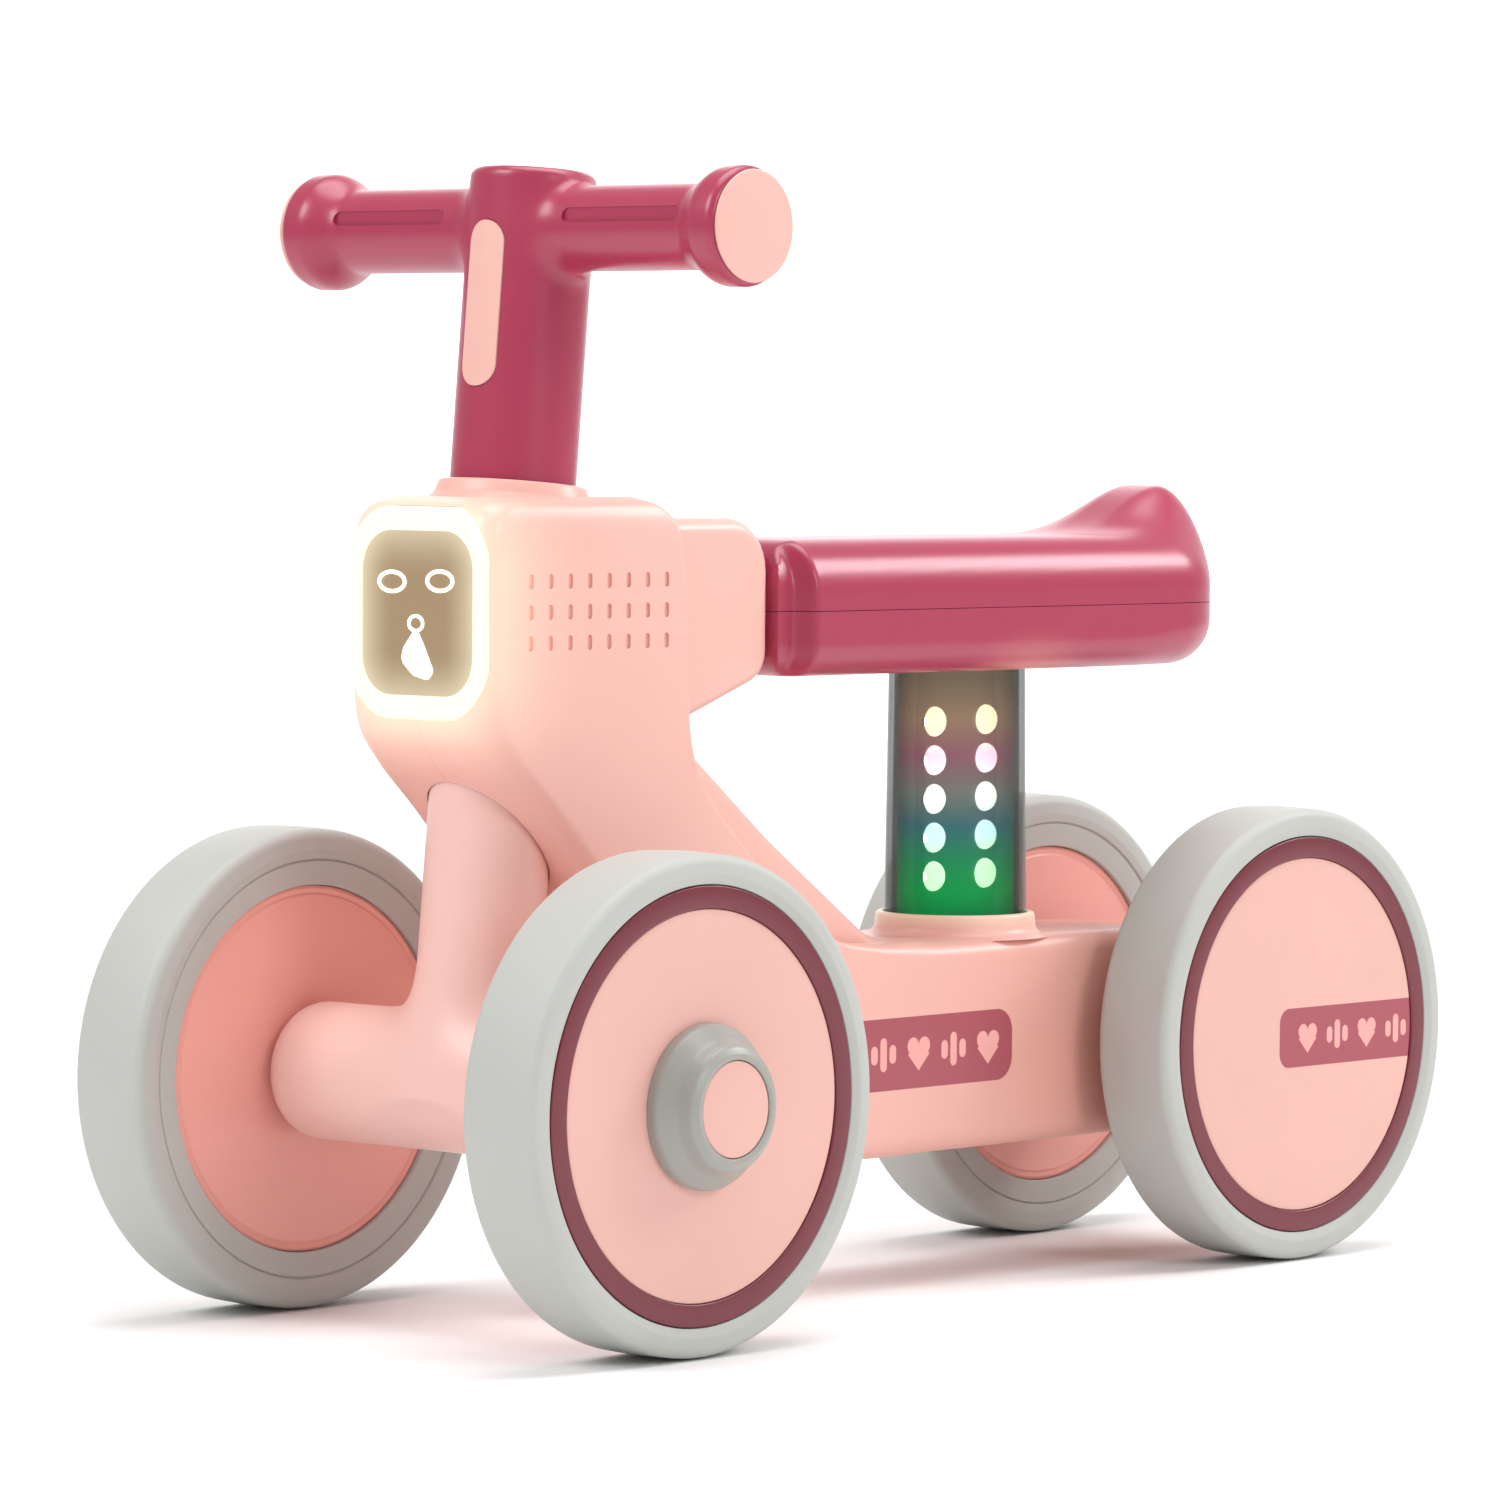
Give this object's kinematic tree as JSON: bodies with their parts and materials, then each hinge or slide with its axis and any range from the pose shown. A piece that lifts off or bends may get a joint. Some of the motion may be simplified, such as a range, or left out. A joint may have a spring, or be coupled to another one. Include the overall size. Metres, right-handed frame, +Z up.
{
  "type": "toddler balance bike",
  "caption": "Toddler's four-wheel balance bike with steered front wheels, T handlebar, moulded body with a lit head, a lit clear seat post and a long seat.",
  "frame": {"origin": "on the floor, under the middle of the wheelbase, in the bike's middle plane", "axes": "+Z up, -Y to the front of the bike, +X to the rider's left"},
  "size_m": [0.2188, 0.4726, 0.3545],
  "materials": {
    "pink_plastic": "satin light pink moulded plastic",
    "rose_plastic": "satin dark rose moulded plastic",
    "grey_plastic": "satin light grey moulded plastic",
    "tyre": "matte light grey foam",
    "steel": "zinc plated",
    "circuit": "green board",
    "lamp_diffuser": "milky light guide",
    "lamp_tint": "tinted gloss window",
    "smoked_plastic": "smoked clear tube",
    "led_lens": "clear lens strip",
    "battery_sleeve": "plain printed sleeve"
  },
  "bodies": {
    "root": {"body_left": "pink_plastic", "body_right": "pink_plastic", "steering_collar": "pink_plastic", "upper_bush": "grey_plastic", "lower_bush": "grey_plastic", "lamp_ring": "lamp_diffuser", "lamp_panel": "lamp_tint", "lamp_housing": "pink_plastic", "lamp_led_board": "circuit", "speaker": "circuit", "battery_box": "grey_plastic", "battery_left": "battery_sleeve", "battery_right": "battery_sleeve", "battery_cover": "pink_plastic", "control_board": "circuit", "button_switch": "circuit", "seat_upper": "rose_plastic", "seat_lower": "rose_plastic", "seat_screw_front": "steel", "seat_screw_rear": "steel", "post_tube": "smoked_plastic", "post_led_board": "circuit", "led_strip_left": "led_lens", "led_strip_right": "led_lens", "post_collar": "pink_plastic", "rear_axle": "steel", "axle_nut_rear_left": "steel", "axle_nut_rear_right": "steel"},
    "steering": {"handlebar": "rose_plastic", "grip_cap_left": "pink_plastic", "grip_cap_right": "pink_plastic", "stem_inlay": "pink_plastic", "steerer_rod": "steel", "stem_screw": "steel", "fork": "pink_plastic", "front_axle": "steel", "axle_nut_front_left": "steel", "axle_nut_front_right": "steel"},
    "power_button": {"power_button": "rose_plastic"},
    "wheel_front_left": {"tyre_front_left": "tyre", "rim_front_left": "pink_plastic", "trim_ring_front_left": "rose_plastic", "wheel_cover_front_left": "pink_plastic", "hub_cap_front_left": "grey_plastic", "hub_badge_front_left": "pink_plastic"},
    "wheel_front_right": {"tyre_front_right": "tyre", "rim_front_right": "pink_plastic", "trim_ring_front_right": "rose_plastic", "wheel_cover_front_right": "pink_plastic", "hub_cap_front_right": "grey_plastic", "hub_badge_front_right": "pink_plastic"},
    "wheel_rear_left": {"tyre_rear_left": "tyre", "rim_rear_left": "pink_plastic", "trim_ring_rear_left": "rose_plastic", "wheel_cover_rear_left": "pink_plastic"},
    "wheel_rear_right": {"tyre_rear_right": "tyre", "rim_rear_right": "pink_plastic", "trim_ring_rear_right": "rose_plastic", "wheel_cover_rear_right": "pink_plastic"}
  },
  "joints": [
    {"name": "steering", "type": "hinge", "parent": "root", "child": "steering", "pos_m": [0, -0.1613, 0.075], "axis": [0, 0.0915, 0.9958], "range_deg": [-22, 22]},
    {"name": "front_left_spin", "type": "hinge", "parent": "steering", "child": "wheel_front_left", "pos_m": [0.0827, -0.1613, 0.075], "axis": [1, 0, 0], "continuous": true},
    {"name": "front_right_spin", "type": "hinge", "parent": "steering", "child": "wheel_front_right", "pos_m": [-0.0827, -0.1613, 0.075], "axis": [1, 0, 0], "continuous": true},
    {"name": "rear_left_spin", "type": "hinge", "parent": "root", "child": "wheel_rear_left", "pos_m": [0.0552, 0.1613, 0.075], "axis": [1, 0, 0], "continuous": true},
    {"name": "rear_right_spin", "type": "hinge", "parent": "root", "child": "wheel_rear_right", "pos_m": [-0.0552, 0.1613, 0.075], "axis": [1, 0, 0], "continuous": true},
    {"name": "button_press", "type": "slide", "parent": "root", "child": "power_button", "axis": [0, 0, 1], "range_m": [0, 0.0012], "stiffness_N_per_m": 300, "springref_m": -0.0005}
  ]
}
